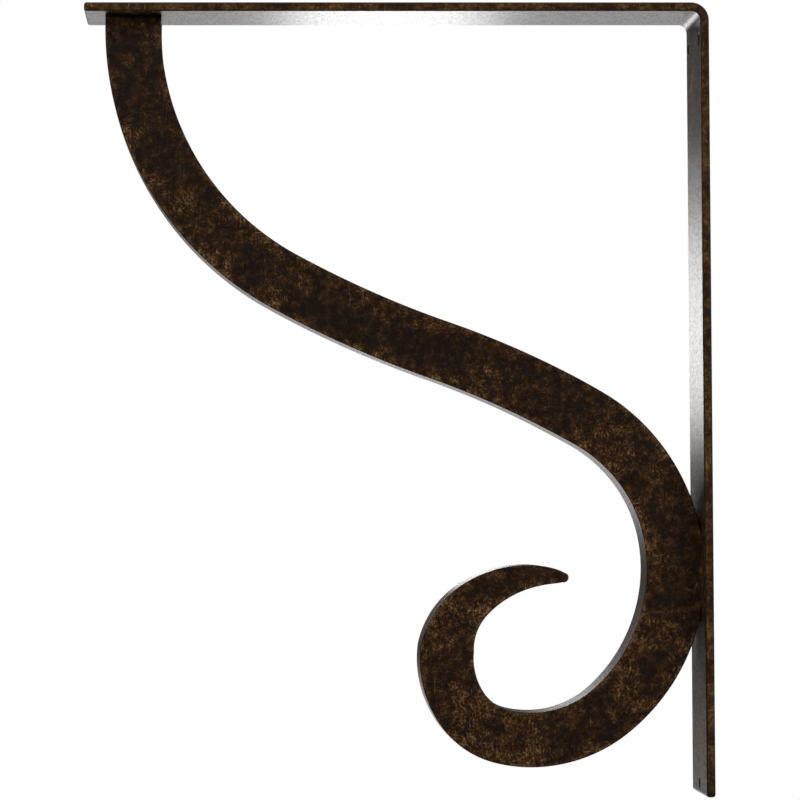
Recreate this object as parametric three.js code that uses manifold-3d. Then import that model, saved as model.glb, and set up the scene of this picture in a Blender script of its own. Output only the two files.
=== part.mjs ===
// Wrought iron bracket: a flat bar bent into an arm and a leg, braced by a thick S-shaped scroll.
// Millimetres, +Z up. The leg's back lies on the wall at x = 0 and the arm reaches towards -X.
// y = 0 is the middle of the bars. The origin is on the wall face, level with the upper screw pair.
import * as THREE from 'three';
import { mergeVertices } from 'three/addons/utils/BufferGeometryUtils.js';
import Module from 'manifold-3d';

// Bent flat bar
const armReach = 279.4;
const legHeight = 355.6;
const barWidth = 50.8;
const barThickness = 4;
const bendInnerRadius = 4;
const barEndRound = 1.2;
const barEdgeEase = 0.6;

// Screw holes through the leg: a pair near the top and one near the foot
const screwHoleDiameter = 5.5;
const upperHoleDrop = 16;
const upperHoleEdgeDistance = 5.9;
const footHoleRise = 4.8;

// Scroll
const scrollThickness = 25.4;
const scrollTopWidth = 25;
const scrollUpperWidth = 26.7;
const scrollMiddleWidth = 27;
const scrollShoulderWidth = 25.8;
const scrollBellyWidth = 26.7;
const scrollCurlWidth = 24.6;
const scrollHookWidth = 24.4;
const scrollTipWidthUntapered = 22.5;
const scrollEdgeEase = 0.5;
const scrollSetback = 9.3;
const scrollFootRise = 13.3;
const topArcRadius = 129;
const upperSlopeRadius = 463;
const lowerSlopeRadius = 403;
const shoulderRadius = 78;
const bellyRadius = 82;
const underBellyRadius = 56;
const curlLowerRadius = 30.5;
const curlSideRadius = 39.5;
const curlUpperRadius = 33;
const tipArcRadius = 49.5;
const bellyFlatDepth = 2;
const tipTaperLength = 68;
const tipWidth = 4.4;
const tipTaperPower = 0.74;

// Gap left where the scroll lies against the bent bar
const weldGap = 0.3;

// The scroll's middle line as tangent arcs: [radius, sweep in degrees, +1 to the left or -1 to the right]
const scrollStartHeading = -93;
const scrollArcs = [
  [topArcRadius, 64, 1],
  [upperSlopeRadius, 9.5, 1],
  [lowerSlopeRadius, 10.5, -1],
  [shoulderRadius, 47.5, -1],
  [bellyRadius, 62.5, -1],
  [underBellyRadius, 54, -1],
  [curlLowerRadius, 42, -1],
  [curlSideRadius, 38.5, -1],
  [curlUpperRadius, 46, -1],
  [tipArcRadius, 50.5, -1],
];

// The scroll's width in its own plane, before the tip's taper: [share of its length, width]
const scrollWidths = [
  [0, scrollTopWidth],
  [0.3, scrollUpperWidth],
  [0.45, scrollMiddleWidth],
  [0.55, scrollShoulderWidth],
  [0.65, scrollBellyWidth],
  [0.78, scrollCurlWidth],
  [0.86, scrollHookWidth],
  [1, scrollTipWidthUntapered],
];

// How finely curves are cut into flats
const arcStepDegrees = 3;
const longestStep = 5;
const tipRoundSteps = 8;
const cornerSteps = 8;
const holeSides = 32;
const easeSteps = 1;

// Heights
const shelfZ = upperHoleDrop;
const footZ = shelfZ - legHeight;
const armUndersideZ = shelfZ - barThickness;
const legInnerX = -barThickness;

const wasm = await Module();
wasm.setup();

// A closed solid for cutting, from a geometry with its shared vertices merged.
function toSolid(geometry) {
  const bare = geometry.clone();
  bare.deleteAttribute('normal');
  bare.deleteAttribute('uv');
  const merged = mergeVertices(bare, 1e-4);
  return new wasm.Manifold(new wasm.Mesh({
    numProp: 3,
    vertProperties: new Float32Array(merged.attributes.position.array),
    triVerts: new Uint32Array(merged.index.array),
  }));
}

function toGeometry(solid) {
  const cut = solid.getMesh();
  const geometry = new THREE.BufferGeometry();
  geometry.setAttribute('position', new THREE.BufferAttribute(new Float32Array(cut.vertProperties), 3));
  geometry.setIndex(new THREE.BufferAttribute(new Uint32Array(cut.triVerts), 1));
  geometry.computeVertexNormals();
  return geometry;
}

// An outline in x and z, made thick along y about y = 0, with its long edges eased.
function extrudeAcross(outline, thickness, ease) {
  const geometry = new THREE.ExtrudeGeometry(outline, {
    depth: thickness - 2 * ease,
    curveSegments: cornerSteps,
    bevelEnabled: true,
    bevelThickness: ease,
    bevelSize: ease,
    bevelOffset: -ease,
    bevelSegments: easeSteps,
  });
  geometry.translate(0, 0, ease - thickness / 2);
  geometry.rotateX(Math.PI / 2);
  return geometry;
}

function screwHole(y, z) {
  const drill = new THREE.CylinderGeometry(
    screwHoleDiameter / 2, screwHoleDiameter / 2, 3 * barThickness, holeSides);
  drill.rotateZ(Math.PI / 2);
  drill.translate(legInnerX / 2, y, z);
  return toSolid(drill);
}

// Side view of the bent bar, from the arm's free end round the bend to the foot of the leg.
function bentBarOutline() {
  const outer = bendInnerRadius + barThickness;
  const round = barEndRound;
  const freeEndX = -armReach;
  const bendZ = shelfZ - outer;
  const outline = new THREE.Shape();
  outline.moveTo(freeEndX, armUndersideZ + round);
  outline.lineTo(freeEndX, shelfZ - round);
  outline.absarc(freeEndX + round, shelfZ - round, round, Math.PI, Math.PI / 2, true);
  outline.lineTo(-outer, shelfZ);
  outline.absarc(-outer, bendZ, outer, Math.PI / 2, 0, true);
  outline.lineTo(0, footZ + round);
  outline.absarc(-round, footZ + round, round, 0, -Math.PI / 2, true);
  outline.lineTo(legInnerX + round, footZ);
  outline.absarc(legInnerX + round, footZ + round, round, -Math.PI / 2, -Math.PI, true);
  outline.lineTo(legInnerX, bendZ);
  outline.absarc(-outer, bendZ, bendInnerRadius, 0, Math.PI / 2, false);
  outline.lineTo(freeEndX + round, armUndersideZ);
  outline.absarc(freeEndX + round, armUndersideZ + round, round, -Math.PI / 2, -Math.PI, true);
  return outline;
}

function bentBar() {
  const upperHoleY = barWidth / 2 - upperHoleEdgeDistance;
  let solid = toSolid(extrudeAcross(bentBarOutline(), barWidth, barEdgeEase));
  for (const side of [-1, 1]) {
    solid = solid.subtract(screwHole(side * upperHoleY, shelfZ - upperHoleDrop));
  }
  solid = solid.subtract(screwHole(0, footZ + footHoleRise));
  return toGeometry(solid);
}

// The middle line in drawing units, from (0, 0): stations with place, heading and run along the line.
function drawMiddleLine() {
  let u = 0;
  let v = 0;
  let heading = THREE.MathUtils.degToRad(scrollStartHeading);
  let run = 0;
  const stations = [{ u, v, heading, run }];
  for (const [radius, sweepDegrees, turn] of scrollArcs) {
    const sweep = THREE.MathUtils.degToRad(sweepDegrees);
    const byAngle = Math.ceil(sweepDegrees / arcStepDegrees);
    const byLength = Math.ceil((radius * sweep) / longestStep);
    const steps = Math.max(byAngle, byLength);
    const centreU = u - turn * radius * Math.sin(heading);
    const centreV = v + turn * radius * Math.cos(heading);
    for (let i = 1; i <= steps; i += 1) {
      const angle = heading + (turn * sweep * i) / steps;
      stations.push({
        u: centreU + turn * radius * Math.sin(angle),
        v: centreV - turn * radius * Math.cos(angle),
        heading: angle,
        run: run + (radius * sweep * i) / steps,
      });
    }
    ({ u, v, heading, run } = stations[stations.length - 1]);
  }
  return stations;
}

// Width at a run along the line: eased between the listed stations, then drawn down to the tip.
function widthAt(run, length) {
  const share = run / length;
  const last = scrollWidths.length - 2;
  const next = scrollWidths.findIndex(([at]) => at > share) - 1;
  const i = next < 0 ? last : next;
  const [from, widthFrom] = scrollWidths[i];
  const [to, widthTo] = scrollWidths[i + 1];
  const width = THREE.MathUtils.lerp(widthFrom, widthTo, THREE.MathUtils.smoothstep(share, from, to));
  const left = Math.min(1, (length - run) / tipTaperLength);
  return tipWidth + (width - tipWidth) * left ** tipTaperPower;
}

// The middle line fitted between the arm and the leg: it starts under the arm, its belly passes the
// leg's inner face by bellyFlatDepth, and its lowest edge is scrollFootRise above the leg's foot.
function fitMiddleLine() {
  const stations = drawMiddleLine();
  const length = stations[stations.length - 1].run;
  for (const station of stations) {
    station.width = widthAt(station.run, length);
  }
  const belly = stations.reduce((a, b) => (b.u > a.u ? b : a));
  const lowest = stations.reduce((a, b) => (b.v < a.v ? b : a));
  const startX = -armReach + scrollSetback + stations[0].width / 2;
  const bellyX = legInnerX - weldGap + bellyFlatDepth - belly.width / 2;
  const lowestZ = footZ + scrollFootRise + lowest.width / 2;
  const scaleX = (bellyX - startX) / belly.u;
  const scaleZ = (lowestZ - armUndersideZ) / lowest.v;
  return stations.map(({ u, v, heading, width }) => ({
    x: startX + u * scaleX,
    z: armUndersideZ + v * scaleZ,
    heading: Math.atan2(Math.sin(heading) * scaleZ, Math.cos(heading) * scaleX),
    width,
  }));
}

// Side view of the scroll: down one edge, round the tip and back up the other edge. It starts inside
// the arm, and bentBarRoom() trims it.
function scrollOutline() {
  const line = fitMiddleLine();
  const first = line[0];
  const overrun = barThickness / 2;
  line.unshift({
    ...first,
    x: first.x - overrun * Math.cos(first.heading),
    z: first.z - overrun * Math.sin(first.heading),
  });
  const left = line.map((p) => new THREE.Vector2(
    p.x - (p.width / 2) * Math.sin(p.heading), p.z + (p.width / 2) * Math.cos(p.heading)));
  const right = line.map((p) => new THREE.Vector2(
    p.x + (p.width / 2) * Math.sin(p.heading), p.z - (p.width / 2) * Math.cos(p.heading)));
  const end = line[line.length - 1];
  const tip = [];
  for (let i = 1; i < tipRoundSteps; i += 1) {
    const angle = end.heading + Math.PI / 2 - (Math.PI * i) / tipRoundSteps;
    tip.push(new THREE.Vector2(
      end.x + (end.width / 2) * Math.cos(angle), end.z + (end.width / 2) * Math.sin(angle)));
  }
  return new THREE.Shape([...left, ...tip, ...right.reverse()]);
}

// The space kept for the bent bar, with the gap between the two pieces.
function bentBarRoom() {
  const deep = 2 * barThickness;
  const across = 2 * barWidth;
  const overArm = new THREE.BoxGeometry(2 * armReach, across, deep);
  overArm.translate(-armReach / 2, 0, armUndersideZ - weldGap + deep / 2);
  const behindLeg = new THREE.BoxGeometry(deep, across, 2 * legHeight);
  behindLeg.translate(legInnerX - weldGap + deep / 2, 0, shelfZ - legHeight / 2);
  return toSolid(overArm).add(toSolid(behindLeg));
}

function scroll() {
  const bent = toSolid(extrudeAcross(scrollOutline(), scrollThickness, scrollEdgeEase));
  return toGeometry(bent.subtract(bentBarRoom()));
}

function darkBronzeFinish() {
  return new THREE.MeshStandardMaterial({ color: 0x3a2616, roughness: 0.45, metalness: 0.7 });
}

function namedMesh(name, geometry, material) {
  const mesh = new THREE.Mesh(geometry, material);
  mesh.name = name;
  return mesh;
}

const bracket = new THREE.Group();
bracket.add(namedMesh('angle_frame', bentBar(), darkBronzeFinish()));
bracket.add(namedMesh('scroll_brace', scroll(), darkBronzeFinish()));

export default bracket;
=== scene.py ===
"""Wrought iron bracket: a flat bar bent into an arm and a leg, braced by a thick S-shaped scroll.

Metres, in the row frame: the leg's back is at x = 0, the arm reaches towards -X, +Z is up and
y = 0 is the middle.
"""

import math

import bpy
import numpy as np
from mathutils import Matrix, Vector

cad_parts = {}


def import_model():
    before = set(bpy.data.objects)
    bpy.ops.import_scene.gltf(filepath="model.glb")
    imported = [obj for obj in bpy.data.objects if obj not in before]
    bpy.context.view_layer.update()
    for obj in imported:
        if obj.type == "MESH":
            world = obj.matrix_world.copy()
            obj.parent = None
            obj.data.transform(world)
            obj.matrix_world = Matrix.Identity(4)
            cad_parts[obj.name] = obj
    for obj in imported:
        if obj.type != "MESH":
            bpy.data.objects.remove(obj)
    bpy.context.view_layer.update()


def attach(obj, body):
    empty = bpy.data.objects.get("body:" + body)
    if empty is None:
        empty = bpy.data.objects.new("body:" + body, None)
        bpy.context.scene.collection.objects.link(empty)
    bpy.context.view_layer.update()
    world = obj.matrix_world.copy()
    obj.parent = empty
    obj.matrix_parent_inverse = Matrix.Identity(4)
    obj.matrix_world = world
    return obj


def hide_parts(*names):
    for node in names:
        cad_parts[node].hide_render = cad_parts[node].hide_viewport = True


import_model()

MM = 0.001

# Bent flat bar, as in the CAD
ARM_REACH = 279.4 * MM
LEG_HEIGHT = 355.6 * MM
BAR_WIDTH = 50.8 * MM
BAR_THICKNESS = 4 * MM
BEND_INNER_RADIUS = 4 * MM
BAR_END_ROUND = 1.2 * MM
BAR_CORNER_ROUND = 0.9 * MM
BAR_EDGE_ROUND = 0.65 * MM
SHELF_Z = 16 * MM
FOOT_Z = SHELF_Z - LEG_HEIGHT
ARM_UNDERSIDE_Z = SHELF_Z - BAR_THICKNESS
LEG_INNER_X = -BAR_THICKNESS

# Screw holes
HOLE_RADIUS = 2.75 * MM
HOLE_EDGE_ROUND = 0.3 * MM
HOLE_SIDES = 64
UPPER_HOLE_Y = 19.5 * MM
FOOT_HOLE_Z = FOOT_Z + 4.8 * MM

# Scroll, as in the CAD
SCROLL_THICKNESS = 25.4 * MM
SCROLL_EDGE_ROUND = 0.5 * MM
SCROLL_SETBACK = 9.3 * MM
SCROLL_FOOT_RISE = 13.3 * MM
BELLY_FLAT_DEPTH = 2 * MM
CAD_GAP = 0.3 * MM
TIP_TAPER_LENGTH = 68 * MM
TIP_WIDTH = 4.4 * MM
TIP_TAPER_POWER = 0.74
SCROLL_START_HEADING = math.radians(-93)
SCROLL_ARCS = [
    (129 * MM, 64, 1),
    (463 * MM, 9.5, 1),
    (403 * MM, 10.5, -1),
    (78 * MM, 47.5, -1),
    (82 * MM, 62.5, -1),
    (56 * MM, 54, -1),
    (30.5 * MM, 42, -1),
    (39.5 * MM, 38.5, -1),
    (33 * MM, 46, -1),
    (49.5 * MM, 50.5, -1),
]
SCROLL_WIDTHS = [
    (0, 25 * MM),
    (0.3, 26.7 * MM),
    (0.45, 27 * MM),
    (0.55, 25.8 * MM),
    (0.65, 26.7 * MM),
    (0.78, 24.6 * MM),
    (0.86, 24.4 * MM),
    (1, 22.5 * MM),
]

# The two pieces are welded, so the scroll goes this far into the bar
WELD_BITE = 0.05 * MM

# The most of half a side that its rounded edge takes, where the scroll's tip gets narrow
LARGEST_ROUND = 0.9

# How finely the meshes are cut. Points lie closer together next to a rounded edge.
PATH_STEP = 2 * MM
ROUND_STEPS = 5
BEND_STEPS = 12
BAR_WIDTH_STEPS = 24
BAR_THICKNESS_STEPS = 2
SCROLL_SIDE_STEPS = 9
NEAR_EDGE_MARK = 1.2 * MM
NEAR_EDGE_SHARE = 0.1
SECOND_MARK = 3 * MM
SECOND_SHARE = 0.25
BAR_END_MARKS = [mark * MM for mark in (0, 0.12, 0.3, 0.6, 0.9, 1.2, 1.7)]
BAR_FIRST_STEP = 3 * MM
BAR_LAST_STEP = 2.5 * MM
TIP_DEGREES = (12, 24, 36, 47, 57, 66, 74, 81, 87)
DRILL_OVERSHOOT = 1 * MM
FACE_AREA_WEIGHT = 80

# The finish is rubbed this far in from a long edge, and the rounded edge itself is darkened with painted
# shade
EDGE_WEAR_REACH = 3 * MM
EDGE_PAINTED_SHADE = -1.0
EDGE_ROUND_SHARE = 0.95

# How much the bar's narrow sides and wide faces are rubbed. A point this close to the bar's full
# width is on a narrow side.
NARROW_SIDE_RUB = 0.42
WIDE_FACE_RUB = 0.05
NARROW_SIDE_TOLERANCE = 0.02 * MM


def rounded_inset(distance, radius):
    """How far a surface has drawn back at this distance from the end of a rounded edge."""
    left = max(0.0, radius - distance)
    return radius - math.sqrt(max(0.0, radius * radius - left * left))


def side_marks(length, steps):
    """Places along a straight side, close together near its ends."""
    first = min(NEAR_EDGE_MARK, NEAR_EDGE_SHARE * length)
    second = min(SECOND_MARK, SECOND_SHARE * length)
    return [first, *np.linspace(second, length - second, steps + 1), length - first]


def ring(half_width, half_depth, radius, width_steps, depth_steps):
    """One closed cross-section as (across, along y), a rectangle with rounded corners."""
    radius = min(radius, LARGEST_ROUND * half_width, LARGEST_ROUND * half_depth)
    corner_x = half_width - radius
    corner_y = half_depth - radius
    points = []
    for quarter, (sx, sy) in enumerate(((1, 1), (-1, 1), (-1, -1), (1, -1))):
        start = quarter * math.pi / 2
        for i in range(ROUND_STEPS + 1):
            angle = start + math.pi / 2 * i / ROUND_STEPS
            points.append((
                sx * corner_x + radius * math.cos(angle),
                sy * corner_y + radius * math.sin(angle)))
        along_width = quarter % 2 == 0
        length = 2 * (corner_x if along_width else corner_y)
        end_x, end_y = points[-1]
        heading = start + math.pi
        for mark in side_marks(length, width_steps if along_width else depth_steps):
            points.append((end_x + mark * math.cos(heading), end_y + mark * math.sin(heading)))
    return points


def sweep(name, rings):
    """A closed mesh through rings of the same number of points, with a cap at each end."""
    count = len(rings[0])
    verts = [p for one in rings for p in one]
    faces = []
    for k in range(len(rings) - 1):
        a = k * count
        b = a + count
        for i in range(count):
            j = (i + 1) % count
            faces.append((a + i, a + j, b + j, b + i))
    faces.append(tuple(reversed(range(count))))
    last = (len(rings) - 1) * count
    faces.append(tuple(range(last, last + count)))
    mesh = bpy.data.meshes.new(name)
    mesh.from_pydata([tuple(p) for p in verts], [], faces)
    mesh.validate()
    mesh.update()
    obj = bpy.data.objects.new(name, mesh)
    bpy.context.scene.collection.objects.link(obj)
    return obj


def bar_line():
    """Middle line of the bar from the arm's free end to the foot: (x, z, heading, run)."""
    middle_radius = BEND_INNER_RADIUS + BAR_THICKNESS / 2
    middle_z = SHELF_Z - BAR_THICKNESS / 2
    middle_x = -BAR_THICKNESS / 2
    arm_length = ARM_REACH - BEND_INNER_RADIUS - BAR_THICKNESS
    leg_length = LEG_HEIGHT - BEND_INNER_RADIUS - BAR_THICKNESS
    bend_length = middle_radius * math.pi / 2
    line = []
    for run in [*BAR_END_MARKS, *np.arange(BAR_FIRST_STEP, arm_length, PATH_STEP)]:
        line.append((-ARM_REACH + run, middle_z, 0.0, run))
    for i in range(BEND_STEPS + 1):
        turn = math.pi / 2 * i / BEND_STEPS
        line.append((
            middle_x - middle_radius + middle_radius * math.sin(turn),
            middle_z - middle_radius + middle_radius * math.cos(turn),
            -turn,
            arm_length + bend_length * i / BEND_STEPS))
    down = [*np.arange(PATH_STEP, leg_length - BAR_LAST_STEP, PATH_STEP)]
    down += [leg_length - mark for mark in reversed(BAR_END_MARKS)]
    for run in down:
        line.append((
            middle_x,
            middle_z - middle_radius - run,
            -math.pi / 2,
            arm_length + bend_length + run))
    return line


def bent_bar():
    """The flat bar with its bend and its rounded ends, without the holes."""
    line = bar_line()
    length = line[-1][3]
    rings = []
    for x, z, heading, run in line:
        to_end = min(run, length - run)
        half_t = BAR_THICKNESS / 2 - rounded_inset(to_end, BAR_END_ROUND)
        half_w = BAR_WIDTH / 2 - rounded_inset(to_end, BAR_CORNER_ROUND)
        nx = -math.sin(heading)
        nz = math.cos(heading)
        section = ring(half_w, half_t, BAR_EDGE_ROUND, BAR_WIDTH_STEPS, BAR_THICKNESS_STEPS)
        rings.append([(x + v * nx, u, z + v * nz) for u, v in section])
    return sweep("bent_bar", rings)


def drill(y, z):
    """A drill of many sides through the leg, with flared ends that ease the hole's edges."""
    flare = []
    for i in range(ROUND_STEPS + 1):
        angle = math.pi / 2 * i / ROUND_STEPS
        flare.append((HOLE_EDGE_ROUND * (1 - math.cos(angle)), HOLE_EDGE_ROUND * (1 - math.sin(angle))))
    profile = [(LEG_INNER_X - DRILL_OVERSHOOT, HOLE_EDGE_ROUND + DRILL_OVERSHOOT)]
    profile += [(LEG_INNER_X + depth, wider) for depth, wider in flare]
    profile += [(-depth, wider) for depth, wider in reversed(flare)]
    profile.append((DRILL_OVERSHOOT, HOLE_EDGE_ROUND + DRILL_OVERSHOOT))
    rings = []
    for x, wider in profile:
        radius = HOLE_RADIUS + wider
        turns = [2 * math.pi * i / HOLE_SIDES for i in range(HOLE_SIDES)]
        rings.append([(x, y + radius * math.cos(t), z + radius * math.sin(t)) for t in turns])
    return sweep("drill", rings)


def cut(obj, tool):
    """Takes the tool's shape out of the object, and deletes the tool."""
    modifier = obj.modifiers.new("cut", "BOOLEAN")
    modifier.operation = "DIFFERENCE"
    modifier.solver = "EXACT"
    modifier.object = tool
    bpy.context.view_layer.update()
    evaluated = obj.evaluated_get(bpy.context.evaluated_depsgraph_get())
    made = bpy.data.meshes.new_from_object(evaluated)
    obj.modifiers.remove(modifier)
    obj.data = made
    bpy.data.objects.remove(tool)


def draw_scroll_line():
    """Stations of the scroll's middle line in drawing units: u, v, heading, run."""
    u = v = run = 0.0
    heading = SCROLL_START_HEADING
    line = [(u, v, heading, run)]
    for radius, degrees, turn in SCROLL_ARCS:
        sweep_angle = math.radians(degrees)
        steps = math.ceil(radius * sweep_angle / PATH_STEP)
        cu = u - turn * radius * math.sin(heading)
        cv = v + turn * radius * math.cos(heading)
        for i in range(1, steps + 1):
            angle = heading + turn * sweep_angle * i / steps
            line.append((
                cu + turn * radius * math.sin(angle),
                cv - turn * radius * math.cos(angle),
                angle,
                run + radius * sweep_angle * i / steps))
        u, v, heading, run = line[-1]
    return line


def scroll_width(run, length):
    """The scroll's width at this run along its middle line, drawn down towards the tip."""
    share = run / length
    i = max(k for k in range(len(SCROLL_WIDTHS) - 1) if SCROLL_WIDTHS[k][0] <= share)
    (start, width_a), (end, width_b) = SCROLL_WIDTHS[i], SCROLL_WIDTHS[i + 1]
    t = min(1.0, (share - start) / (end - start))
    width = width_a + (width_b - width_a) * t * t * (3 - 2 * t)
    left = max(0.0, min(1.0, (length - run) / TIP_TAPER_LENGTH))
    return TIP_WIDTH + (width - TIP_WIDTH) * left ** TIP_TAPER_POWER


def scroll_line():
    """The middle line fitted between arm and leg as the CAD does: (x, z, heading, width)."""
    line = draw_scroll_line()
    length = line[-1][3]
    widths = [scroll_width(run, length) for _, _, _, run in line]
    belly = max(range(len(line)), key=lambda i: line[i][0])
    lowest = min(range(len(line)), key=lambda i: line[i][1])
    start_x = -ARM_REACH + SCROLL_SETBACK + widths[0] / 2
    belly_x = LEG_INNER_X - CAD_GAP + BELLY_FLAT_DEPTH - widths[belly] / 2
    lowest_z = FOOT_Z + SCROLL_FOOT_RISE + widths[lowest] / 2
    scale_x = (belly_x - start_x) / line[belly][0]
    scale_z = (lowest_z - ARM_UNDERSIDE_Z) / line[lowest][1]
    return [
        (start_x + u * scale_x, ARM_UNDERSIDE_Z + v * scale_z,
         math.atan2(math.sin(h) * scale_z, math.cos(h) * scale_x), w)
        for (u, v, h, _), w in zip(line, widths)]


def rim_value(u, v, half_width, half_depth):
    """1 close to a long edge of the section, 0 well inside, and below 0 on the rounded edge itself, where
    it paints shade.
    """
    across = half_width - abs(u)
    along = half_depth - abs(v)
    inward = max(across, along)
    if inward < EDGE_ROUND_SHARE * SCROLL_EDGE_ROUND:
        return EDGE_PAINTED_SHADE
    return max(0.0, 1 - inward / EDGE_WEAR_REACH)


def scroll_body():
    """The scroll's mesh, and for each of its points how much the finish is rubbed along the edges, with
    painted shade on the rounded edges themselves.
    """
    line = scroll_line()
    half_y = SCROLL_THICKNESS / 2
    top_z = ARM_UNDERSIDE_Z + WELD_BITE
    wall_x = LEG_INNER_X + WELD_BITE
    rings = []
    rims = []
    for x, z, heading, width in line:
        nx = -math.sin(heading)
        nz = math.cos(heading)
        section = ring(width / 2, half_y, SCROLL_EDGE_ROUND, SCROLL_SIDE_STEPS, SCROLL_SIDE_STEPS)
        rims += [rim_value(u, v, width / 2, half_y) for u, v in section]
        rings.append([(x + u * nx, v, z + u * nz) for u, v in section])
    dx = math.cos(line[0][2])
    dz = math.sin(line[0][2])
    rings[0] = [(px + dx * (top_z - pz) / dz, py, top_z) for px, py, pz in rings[0]]
    x, z, heading, width = line[-1]
    nose = width / 2
    nx = -math.sin(heading)
    nz = math.cos(heading)
    for degrees in TIP_DEGREES:
        angle = math.radians(degrees)
        ahead = nose * math.sin(angle)
        half_w = nose * math.cos(angle)
        section = ring(half_w, half_y, SCROLL_EDGE_ROUND, SCROLL_SIDE_STEPS, SCROLL_SIDE_STEPS)
        drop = rounded_inset(nose - ahead, SCROLL_EDGE_ROUND)
        squeeze = (half_y - drop) / half_y
        rims += [rim_value(u, v, half_w, half_y) for u, v in section]
        tip_x = x + ahead * math.cos(heading)
        tip_z = z + ahead * math.sin(heading)
        rings.append([(tip_x + u * nx, v * squeeze, tip_z + u * nz) for u, v in section])
    rings = [[(min(px, wall_x), py, pz) for px, py, pz in one] for one in rings]
    return sweep("scroll", rings), rims


def smooth(obj):
    """Smooth shading whose normals follow the large faces, so the flats stay flat."""
    for polygon in obj.data.polygons:
        polygon.use_smooth = True
    weighted = obj.modifiers.new("weighted normals", "WEIGHTED_NORMAL")
    weighted.keep_sharp = True
    weighted.weight = FACE_AREA_WEIGHT


class Nodes:
    """Short calls for building a node tree."""

    def __init__(self, tree):
        self.tree = tree

    def add(self, kind, inputs=None, **settings):
        node = self.tree.nodes.new(kind)
        for key, value in settings.items():
            setattr(node, key, value)
        for key, value in (inputs or {}).items():
            if isinstance(value, bpy.types.NodeSocket):
                self.tree.links.new(value, node.inputs[key])
            else:
                node.inputs[key].default_value = value
        return node

    def math(self, operation, a, b=0.0, clamp=False):
        return self.add("ShaderNodeMath", {0: a, 1: b}, operation=operation, use_clamp=clamp).outputs[0]

    def plus(self, a, b, clamp=False):
        return self.math("ADD", a, b, clamp)

    def times(self, a, b):
        return self.math("MULTIPLY", a, b)

    def ramp(self, value, low, high):
        """0 below low, 1 above high, smooth between."""
        return self.add("ShaderNodeMapRange", {
            "Value": value, "From Min": low, "From Max": high, "To Min": 0.0, "To Max": 1.0,
        }, interpolation_type="SMOOTHSTEP").outputs["Result"]

    def spread(self, value, low, high, at_low, at_high):
        """at_low at the low value, at_high at the high one, straight between."""
        return self.add("ShaderNodeMapRange", {
            "Value": value, "From Min": low, "From Max": high,
            "To Min": at_low, "To Max": at_high}).outputs["Result"]

    def noise(self, vector, scale, detail=3.0, roughness=0.55, distortion=0.0):
        return self.add("ShaderNodeTexNoise", {
            "Vector": vector, "Scale": scale, "Detail": detail, "Roughness": roughness,
            "Distortion": distortion}).outputs["Fac"]

    def blend(self, share, first, second):
        """The first value where share is 0, the second where it is 1."""
        return self.add("ShaderNodeMix", {"Factor": share, "A": first, "B": second}).outputs["Result"]

    def stretch(self, vector, scale, shift=(0.0, 0.0, 0.0), turn=(0.0, 0.0, 0.0)):
        return self.add("ShaderNodeMapping", {
            "Vector": vector, "Location": shift, "Rotation": turn, "Scale": scale}).outputs["Vector"]

    def shifted(self, vector, shift):
        """The same place moved along, so that two patterns of one kind differ."""
        return self.stretch(vector, (1, 1, 1), shift)

    def relief(self, height, strength, depth, below=None):
        """The normal of a surface raised by this pattern, on top of the one below it."""
        inputs = {"Strength": strength, "Distance": depth, "Height": height}
        if below is not None:
            inputs["Normal"] = below
        return self.add("ShaderNodeBump", inputs).outputs["Normal"]


# The finish from untouched to most rubbed
BRONZE_TONES = [
    (0.09, (0.0078, 0.0029, 0.0013)),
    (0.22, (0.0126, 0.0052, 0.0015)),
    (0.35, (0.0232, 0.0091, 0.0014)),
    (0.46, (0.0392, 0.0165, 0.0032)),
    (0.58, (0.0600, 0.0280, 0.0068)),
    (0.67, (0.0810, 0.0420, 0.0130)),
    (1.0, (0.1443, 0.0861, 0.0357)),
]
# The cooler tone of spots where the finish is hardly rubbed, and the most of it that is mixed in
COOL_DARK = (0.0052, 0.0042, 0.0030, 1)
COOL_SHARE = 0.8

# The finish's patterns, in repeats per metre. Stretched ones have one figure for each of x, y and z.
CLOUDS_PER_METRE = 55
PATCHES_PER_METRE = 260
GRAIN_PER_METRE = 1050
STROKE_FIELDS_PER_METRE = 70
COOL_SPOTS_PER_METRE = 180
DENTS_PER_METRE = 260
PORES_PER_METRE = 1700
STROKE_STRETCH = (320, 400, 1150)
SCRATCH_STRETCH = (800, 60, 75)
SPECKLE_STRETCH = (900, 160, 900)

# Slopes of the brush strokes, in degrees
FLAT_STROKES = 5
UPRIGHT_STROKES = 88
FALLING_STROKES = -48
RISING_STROKES = 57

# The part of each pattern's values over which it goes from nothing to full
STROKE_RANGE = (0.48, 0.72)
LYING_FIELD_RANGE = (0.44, 0.54)
STANDING_FIELD_RANGE = (0.46, 0.56)
GRAIN_RANGE = (0.42, 0.7)
CLOUD_RANGE = (0.42, 0.68)
PATCH_RANGE = (0.46, 0.7)
MOTTLE_RANGE = (0.28, 0.7)
SCRATCH_RANGE = (0.69, 0.79)
COOL_SPOT_RANGE = (0.48, 0.66)
COOL_WEAR_RANGE = (0.1, 0.4)
SPECKLE_RANGE = (0.35, 0.59)

# How much each pattern rubs the finish
STROKE_WEAR = 0.47
GRAIN_WEAR = 0.32
EVEN_WEAR = 0.42
CLOUD_SHARE = 0.75
PATCH_SHARE = 0.25
LEAST_RUB = 0.24
SCRATCH_WEAR = 0.3
MOTTLE_WEAR = 0.31
EDGE_MOTTLE_WEAR = 0.3
# Painted shade: how much the rounded edges themselves are darkened
EDGE_PAINTED_SHADE_STRENGTH = 0.5

# Gloss, and depth of the relief
UNRUBBED_ROUGHNESS = 0.5
RUBBED_ROUGHNESS = 0.34
THIN_COAT = 0.7
FULL_COAT = 1.0
COAT_ROUGHNESS = 0.34
COAT_IOR = 1.36
DENT_DEPTH = 0.08 * MM
DENT_STRENGTH = 0.25
PORE_DEPTH = 0.03 * MM
PORE_STRENGTH = 0.35
SPECKLE_DEPTH = 0.04 * MM
SPECKLE_STRENGTH = 0.5

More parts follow.
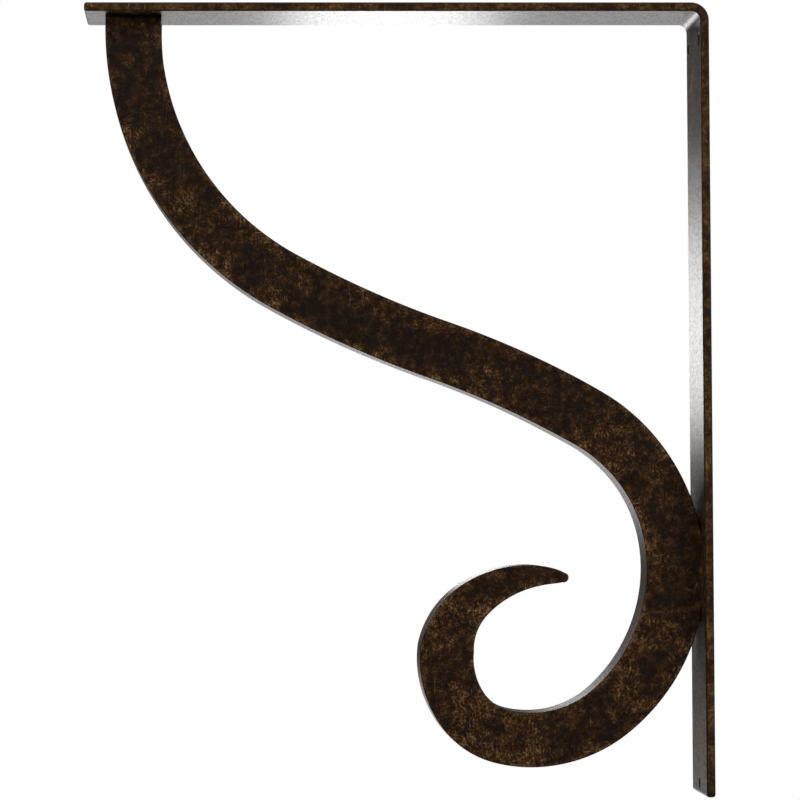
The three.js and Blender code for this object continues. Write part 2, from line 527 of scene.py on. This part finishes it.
# The bar's finish is more even than the scroll's, and its patterns lie elsewhere
BAR_SHIFT = (0.0, 0.0, 0.0)
BAR_EVEN = 0.4
SCROLL_SHIFT = (0.4, 0.2, 0.7)
SCROLL_EVEN = 0.0


def strokes(n, place, degrees, shift):
    """Noise drawn out into short brush strokes at this slope, in the plane of the scroll."""
    turned = n.stretch(place, (1, 1, 1), turn=(0, math.radians(degrees), 0))
    return n.noise(n.stretch(turned, STROKE_STRETCH, shift), 1, detail=3, roughness=0.55, distortion=0.25)


def crossed_strokes(n, place):
    """Strokes that lie or fall, crossed by strokes that stand or rise, in fields of each."""
    flat = strokes(n, place, FLAT_STROKES, (0, 0, 0))
    falling = strokes(n, place, FALLING_STROKES, (1, 4, 6))
    upright = strokes(n, place, UPRIGHT_STROKES, (5, 2, 1))
    rising = strokes(n, place, RISING_STROKES, (7, 3, 2))
    lying_field = n.noise(n.shifted(place, (6, 1, 2)), STROKE_FIELDS_PER_METRE, detail=1)
    standing_field = n.noise(n.shifted(place, (2, 9, 5)), STROKE_FIELDS_PER_METRE, detail=1)
    lying = n.blend(n.ramp(lying_field, *LYING_FIELD_RANGE), flat, falling)
    standing = n.blend(n.ramp(standing_field, *STANDING_FIELD_RANGE), upright, rising)
    return n.math("MAXIMUM", n.ramp(lying, *STROKE_RANGE), n.ramp(standing, *STROKE_RANGE))


def wear(n, place, even):
    """How much the finish is rubbed, from 0 to 1, lowered on the rounded edges by painted shade."""
    grain = n.ramp(n.noise(place, GRAIN_PER_METRE, detail=3, roughness=0.55), *GRAIN_RANGE)
    fine = n.plus(n.times(crossed_strokes(n, place), STROKE_WEAR), n.times(grain, GRAIN_WEAR))
    fine = n.plus(n.times(fine, 1 - even), even * EVEN_WEAR)

    clouds = n.noise(place, CLOUDS_PER_METRE, detail=3, roughness=0.6)
    patches = n.noise(
        n.shifted(place, (3.1, 1.7, 0.4)), PATCHES_PER_METRE, detail=4, roughness=0.7)
    rub = n.add("ShaderNodeAttribute", attribute_name="rub").outputs["Fac"]
    where = n.plus(n.times(n.ramp(clouds, *CLOUD_RANGE), CLOUD_SHARE),
                   n.times(n.ramp(patches, *PATCH_RANGE), PATCH_SHARE))
    where = n.plus(n.plus(where, rub), LEAST_RUB, clamp=True)
    worn = n.times(fine, where)

    scratches = n.noise(
        n.stretch(place, SCRATCH_STRETCH, (2, 8, 3)), 1, detail=1, roughness=0.5)
    worn = n.plus(worn, n.times(n.ramp(scratches, *SCRATCH_RANGE), SCRATCH_WEAR))

    edge = n.add("ShaderNodeAttribute", attribute_name="edge_wear_and_shade").outputs["Fac"]
    rubbed_edge = n.times(n.math("MAXIMUM", edge, 0.0), EDGE_MOTTLE_WEAR)
    # Painted shade: the rounded edges themselves come out darker
    painted_edge_shade = n.times(n.math("MINIMUM", edge, 0.0), EDGE_PAINTED_SHADE_STRENGTH)
    mottle = n.times(n.ramp(patches, *MOTTLE_RANGE), n.plus(rubbed_edge, MOTTLE_WEAR))
    return n.plus(n.plus(worn, mottle), painted_edge_shade, clamp=True)


def bronze_colour(n, place, worn):
    """The bronze tones by how much they are rubbed, with cooler spots where they are darkest."""
    colour = n.add("ShaderNodeValToRGB", {"Fac": worn})
    stops = colour.color_ramp.elements
    stops[0].position = BRONZE_TONES[0][0]
    stops[1].position = BRONZE_TONES[-1][0]
    for at, _ in BRONZE_TONES[1:-1]:
        stops.new(at)
    for stop, (_, tone) in zip(stops, BRONZE_TONES):
        stop.color = (*tone, 1)
    spots = n.noise(n.shifted(place, (4, 4, 1)), COOL_SPOTS_PER_METRE, detail=2)
    dark = n.math("SUBTRACT", COOL_SHARE, n.times(n.ramp(worn, *COOL_WEAR_RANGE), COOL_SHARE))
    cool = n.times(n.ramp(spots, *COOL_SPOT_RANGE), dark)
    mixed = n.add("ShaderNodeMix", {
        0: cool, 6: colour.outputs["Color"], 7: COOL_DARK}, data_type="RGBA")
    return mixed.outputs[2]


def bronze(name, shift, even):
    """Dark brown bronze finish rubbed to golden brown in fine crossed strokes, under a glossy coat.

    shift moves all its patterns along, and a larger share of even gives fewer strokes.
    """
    material = bpy.data.materials.new(name)
    material.use_nodes = True
    material.node_tree.nodes.clear()
    n = Nodes(material.node_tree)
    place = n.shifted(n.add("ShaderNodeTexCoord").outputs["Object"], shift)
    worn = wear(n, place, even)

    speckle = n.noise(
        n.stretch(place, SPECKLE_STRETCH, (1, 7, 4)), 1, detail=3, roughness=0.7)
    dents = n.noise(place, DENTS_PER_METRE, detail=2, roughness=0.5)
    pores = n.noise(place, PORES_PER_METRE, detail=3, roughness=0.65)
    bump = n.relief(dents, DENT_STRENGTH, DENT_DEPTH)
    bump = n.relief(pores, PORE_STRENGTH, PORE_DEPTH, bump)
    bump = n.relief(speckle, SPECKLE_STRENGTH, SPECKLE_DEPTH, bump)

    shader = n.add("ShaderNodeBsdfPrincipled", {
        "Base Color": bronze_colour(n, place, worn),
        "Metallic": 0.0,
        "Specular IOR Level": 0.0,
        "Roughness": n.spread(worn, 0.0, 1.0, UNRUBBED_ROUGHNESS, RUBBED_ROUGHNESS),
        "Normal": bump,
        "Coat Weight": n.spread(speckle, *SPECKLE_RANGE, THIN_COAT, FULL_COAT),
        "Coat Roughness": COAT_ROUGHNESS,
        "Coat IOR": COAT_IOR,
        "Coat Normal": bump})
    n.add("ShaderNodeOutputMaterial", {"Surface": shader.outputs["BSDF"]})
    return material


# Where the scroll's finish is rubbed more, or less: x and z of the middle and half sizes in x and z,
# all in millimetres, and the strength
RUBBED_SPOTS = [
    (-225, -88, 14, 15, 0.34),
    (-212, -77, 9, 8, 0.25),
    (-258, -33, 6, 10, 0.12),
    (-155, -112, 9, 5, 0.2),
    (-92, -158, 12, 12, 0.26),
    (-84, -168, 7, 5, 0.22),
    (-40, -170, 10, 14, 0.24),
    (-20, -202, 7, 9, 0.24),
    (-16, -222, 9, 4, 0.22),
    (-14, -255, 7, 4, 0.18),
    (-38, -289, 6, 15, 0.6),
    (-31, -305, 8, 8, 0.24),
    (-85, -318, 9, 7, 0.45),
    (-105, -319, 14, 8, 0.6),
    (-119, -305, 9, 10, 0.34),
    (-114, -293, 7, 7, 0.5),
    (-126, -264, 6, 16, 0.28),
    (-99, -254, 10, 8, 0.42),
    (-84, -245, 10, 5, 0.25),
    (-262, -10, 18, 16, -0.3),
    (-176, -118, 30, 12, -0.2),
    (-121, -138, 20, 9, -0.2),
    (-26, -272, 7, 14, -0.15),
    (-145, -132, 17, 16, -0.25),
    (-14, -207, 8, 12, 0.2),
]
# On the far side they all lie this much further towards -X and higher, in millimetres
FAR_SPOTS_OUT = 11
FAR_SPOTS_UP = 8


def rubbed(co):
    """How much more than usual the finish is rubbed here, from soft spots. The far side has its own."""
    far = co.y > 0
    x = co.x / MM + (FAR_SPOTS_OUT if far else 0)
    z = co.z / MM - (FAR_SPOTS_UP if far else 0)
    amount = 0.0
    for sx, sz, rx, rz, strength in RUBBED_SPOTS:
        amount += strength * math.exp(-((x - sx) / rx) ** 2 - ((z - sz) / rz) ** 2)
    return amount


def vertex_values(obj, name, values):
    """Writes one number per vertex for the material."""
    attribute = obj.data.attributes.new(name, "FLOAT", "POINT")
    attribute.data.foreach_set("value", values)


def bar_rim(co):
    """As rim_value, for the edges of the bar's wide faces."""
    inward = BAR_WIDTH / 2 - abs(co.y)
    if inward < NARROW_SIDE_TOLERANCE:
        return 0.0
    # Painted shade on the rounded edge itself
    if inward < EDGE_ROUND_SHARE * BAR_EDGE_ROUND:
        return EDGE_PAINTED_SHADE
    return max(0.0, 1 - inward / EDGE_WEAR_REACH)


def bar_rub(co):
    """The bar's narrow sides are rubbed more than its wide faces."""
    on_narrow_side = BAR_WIDTH / 2 - abs(co.y) < NARROW_SIDE_TOLERANCE
    return NARROW_SIDE_RUB if on_narrow_side else WIDE_FACE_RUB


bar = bent_bar()
for hole_y, hole_z in ((-UPPER_HOLE_Y, 0), (UPPER_HOLE_Y, 0), (0, FOOT_HOLE_Z)):
    cut(bar, drill(hole_y, hole_z))
scroll, scroll_rims = scroll_body()
# Edge rub, and painted shade on the rounded edges
vertex_values(bar, "edge_wear_and_shade", [bar_rim(v.co) for v in bar.data.vertices])
vertex_values(bar, "rub", [bar_rub(v.co) for v in bar.data.vertices])
vertex_values(scroll, "edge_wear_and_shade", scroll_rims)
vertex_values(scroll, "rub", [rubbed(v.co) for v in scroll.data.vertices])
smooth(bar)
smooth(scroll)
bar.data.materials.clear()
bar.data.materials.append(bronze("bronze_bar", BAR_SHIFT, BAR_EVEN))
scroll.data.materials.append(bronze("bronze_scroll", SCROLL_SHIFT, SCROLL_EVEN))
for piece, node, slot in (
        (bar, "angle_frame", "bronzed_iron_bar"),
        (scroll, "scroll_brace", "bronzed_iron_scroll")):
    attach(piece, "root")
    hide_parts(node)


# Camera at the photograph's viewing angle: turned this far to the right, up and about its own axis.
# The lens and the sensor are in Blender's camera millimetres.
CAMERA_PLACE = (-222.15 * MM, -1733.21 * MM, -212.78 * MM)
CAMERA_YAW = math.radians(2.763)
CAMERA_PITCH = math.radians(1.710)
CAMERA_ROLL = math.radians(-0.3585)
CAMERA_LENS = 172.96
CAMERA_SENSOR = 36
CAMERA_NEAR = 0.05
CAMERA_FAR = 60

# Middle of the set, and a floor well below the bracket's foot
STAGE_MIDDLE_X = -0.14
FLOOR_DROP = 0.35
FLOOR_HALF_SIZE = 4.2
FLOOR_TONE = 0.9
FLOOR_ROUGHNESS = 0.9

# Brightness of the studio around the part. BEHIND_RANGE is of a direction's y, from in front of the
# part to behind it, and the rises are in degrees above eye level.
FRONT_LEVEL = 0.01
BEHIND_RANGE = (-0.6, 0.4)
OVERHEAD_RISE = (14, 50)
OVERHEAD_LEVEL = 1.5
BELOW_LEVEL = 1.42
EYE_LEVEL_RISE = (-8, -2.5)
EYE_LEVEL_DROP = 1.38

# Lights: name, place, what it is aimed at, width and height, power in watts, and shape
LIGHTS_AIM = (STAGE_MIDDLE_X, 0, -0.16)
LIGHTS = [
    ("key", (-2.2, -2.2, 1.5), LIGHTS_AIM, (2.0, 2.0), 50, "RECTANGLE"),
    ("fill", (2.2, -2.0, 0.4), LIGHTS_AIM, (2.0, 2.0), 20, "RECTANGLE"),
    ("rear_left", (-2.2, 2.2, 1.2), LIGHTS_AIM, (2.0, 2.0), 34, "RECTANGLE"),
    ("rear_right", (2.3, 2.0, 1.0), LIGHTS_AIM, (2.0, 2.0), 34, "RECTANGLE"),
    ("rim", (-0.12, 0.5, -0.106), (-0.12, 0, -0.106), (0.135, 0.135), 0.25, "ELLIPSE"),
    ("rim_above", (-0.123, 0.5, -0.03), (-0.123, 0, -0.03), (0.1, 0.05), 0.026, "RECTANGLE"),
]


def camera():
    """The photograph's view: from a little left of and below the middle, with a long lens."""
    flat = math.cos(CAMERA_PITCH)
    forward = Vector((
        math.sin(CAMERA_YAW) * flat, math.cos(CAMERA_YAW) * flat, math.sin(CAMERA_PITCH)))
    level = Vector((math.cos(CAMERA_YAW), -math.sin(CAMERA_YAW), 0))
    upright = level.cross(forward)
    right = math.cos(CAMERA_ROLL) * level + math.sin(CAMERA_ROLL) * upright
    up = -math.sin(CAMERA_ROLL) * level + math.cos(CAMERA_ROLL) * upright
    turn = Matrix((right, up, -forward)).transposed()
    data = bpy.data.cameras.new("camera")
    data.sensor_width = CAMERA_SENSOR
    data.lens = CAMERA_LENS
    data.clip_start = CAMERA_NEAR
    data.clip_end = CAMERA_FAR
    cam = bpy.data.objects.new("camera", data)
    cam.matrix_world = Matrix.Translation(CAMERA_PLACE) @ turn.to_4x4()
    bpy.context.scene.collection.objects.link(cam)
    bpy.context.scene.camera = cam


def area_light(name, place, target, size, power, shape):
    """A soft light that faces its target and isn't seen by the camera."""
    data = bpy.data.lights.new(name, "AREA")
    data.shape = shape
    data.size, data.size_y = size
    data.energy = power
    light = bpy.data.objects.new(name, data)
    light.location = place
    light.rotation_euler = (Vector(target) - Vector(place)).to_track_quat("-Z", "Y").to_euler()
    light.visible_camera = False
    bpy.context.scene.collection.objects.link(light)


def floor():
    """A plain pale floor, left out of the reflections."""
    mesh = bpy.data.meshes.new("floor")
    half = FLOOR_HALF_SIZE
    corners = [(-half, -half, 0), (half, -half, 0), (half, half, 0), (-half, half, 0)]
    mesh.from_pydata(corners, [], [(0, 1, 2, 3)])
    obj = bpy.data.objects.new("floor", mesh)
    obj.location = (STAGE_MIDDLE_X, 0, FOOT_Z - FLOOR_DROP)
    bpy.context.scene.collection.objects.link(obj)
    material = bpy.data.materials.new("pale_floor")
    material.use_nodes = True
    shader = material.node_tree.nodes["Principled BSDF"]
    shader.inputs["Base Color"].default_value = (FLOOR_TONE, FLOOR_TONE, FLOOR_TONE, 1)
    shader.inputs["Roughness"].default_value = FLOOR_ROUGHNESS
    mesh.materials.append(material)
    obj.visible_glossy = False


def world():
    """White where the camera sees past the part, and a studio that lights it and is mirrored in it.

    The studio is pale overhead, and behind the part also below eye level. At eye level it is dim
    behind the part and almost black in front.
    """
    world_data = bpy.data.worlds.new("studio")
    bpy.context.scene.world = world_data
    world_data.use_nodes = True
    tree = world_data.node_tree
    tree.nodes.clear()
    n = Nodes(tree)
    direction = n.add("ShaderNodeTexCoord").outputs["Generated"]
    parts = n.add("ShaderNodeSeparateXYZ", {"Vector": direction})
    behind = n.ramp(parts.outputs["Y"], *BEHIND_RANGE)

    def rise(degrees, top):
        sines = [math.sin(math.radians(angle)) for angle in degrees]
        return n.times(n.ramp(parts.outputs["Z"], *sines), top)

    overhead = rise(OVERHEAD_RISE, OVERHEAD_LEVEL)
    underneath = n.math("SUBTRACT", BELOW_LEVEL, rise(EYE_LEVEL_RISE, EYE_LEVEL_DROP))
    level = n.plus(FRONT_LEVEL, n.times(behind, underneath))
    strength = n.plus(overhead, level)
    white = (1, 1, 1, 1)
    studio = n.add("ShaderNodeBackground", {"Color": white, "Strength": strength})
    backdrop = n.add("ShaderNodeBackground", {"Color": white, "Strength": 1.0})
    seen = n.add("ShaderNodeLightPath").outputs["Is Camera Ray"]
    mixed = n.add("ShaderNodeMixShader", {
        0: seen, 1: studio.outputs["Background"], 2: backdrop.outputs["Background"]})
    n.add("ShaderNodeOutputWorld", {"Surface": mixed.outputs["Shader"]})


camera()
floor()
world()
for light in LIGHTS:
    area_light(*light)

scene = bpy.context.scene
scene.view_settings.view_transform = "Standard"
scene.view_settings.look = "None"
scene.view_settings.exposure = 0
scene.view_settings.gamma = 1
